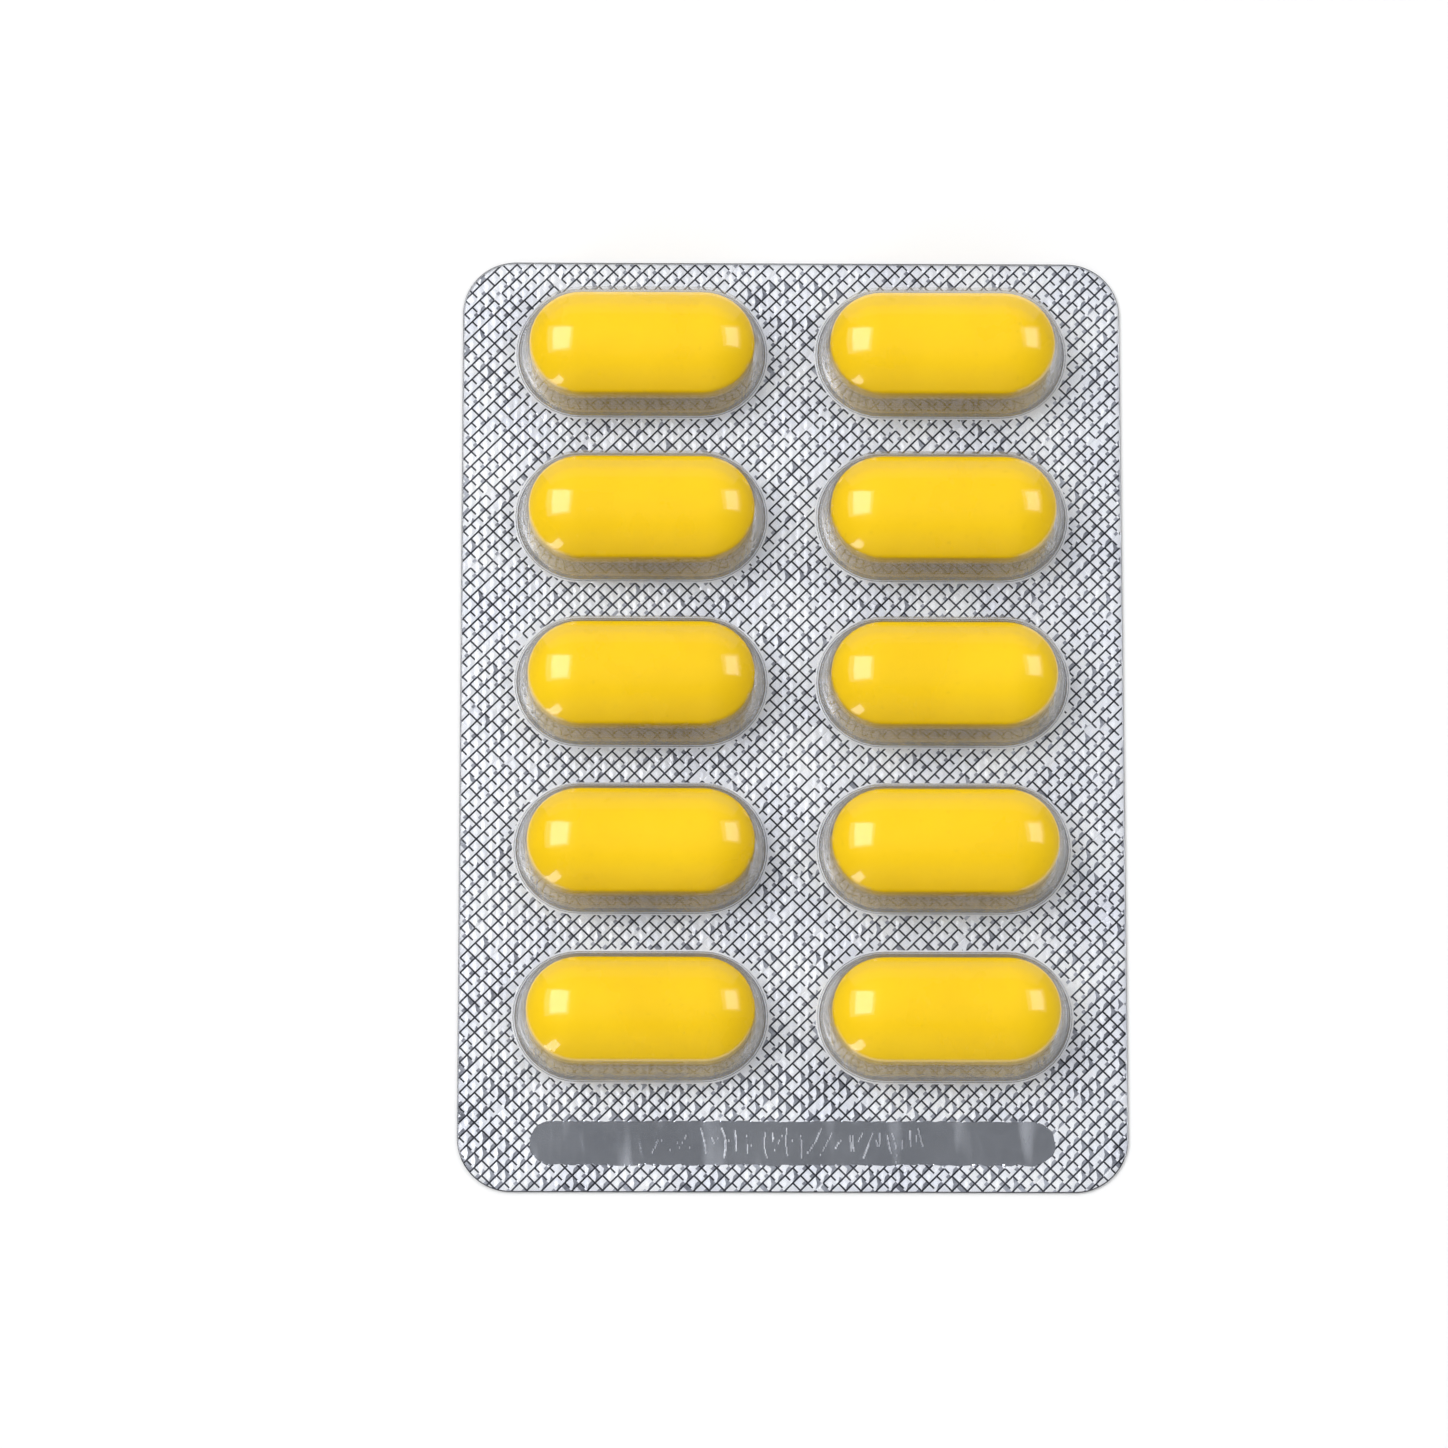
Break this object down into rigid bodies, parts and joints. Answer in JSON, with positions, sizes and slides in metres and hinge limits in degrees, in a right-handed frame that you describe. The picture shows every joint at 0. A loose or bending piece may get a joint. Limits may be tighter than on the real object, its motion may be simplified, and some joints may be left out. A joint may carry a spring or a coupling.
{
  "type": "pill blister pack",
  "caption": "Thermoformed card of sealed clear pockets in two columns, each holding a domed oblong coated tablet, backed by a heat-sealed aluminium lidding foil.",
  "frame": {"origin": "middle of the card on the underside of the lidding foil, where the pack rests on a surface", "axes": "+Z out of the foil towards the pockets' crowns, +Y along the rows away from the plain strip at the foot, +X across the two columns to the right as seen from above"},
  "size_m": [0.056, 0.08, 0.0068],
  "materials": {
    "clear_film": "clear glossy formed film, fine diamond knurl from the sealing plate between the pockets",
    "foil": "bright hard foil with a knurled seal, smooth under the pockets",
    "tablet_coat": "yellow polished film coat"
  },
  "bodies": {
    "root": {"forming_film": "clear_film", "lidding_foil": "foil", "tablet_left_1": "tablet_coat", "tablet_right_1": "tablet_coat", "tablet_left_2": "tablet_coat", "tablet_right_2": "tablet_coat", "tablet_left_3": "tablet_coat", "tablet_right_3": "tablet_coat", "tablet_left_4": "tablet_coat", "tablet_right_4": "tablet_coat", "tablet_left_5": "tablet_coat", "tablet_right_5": "tablet_coat"}
  },
  "joints": []
}
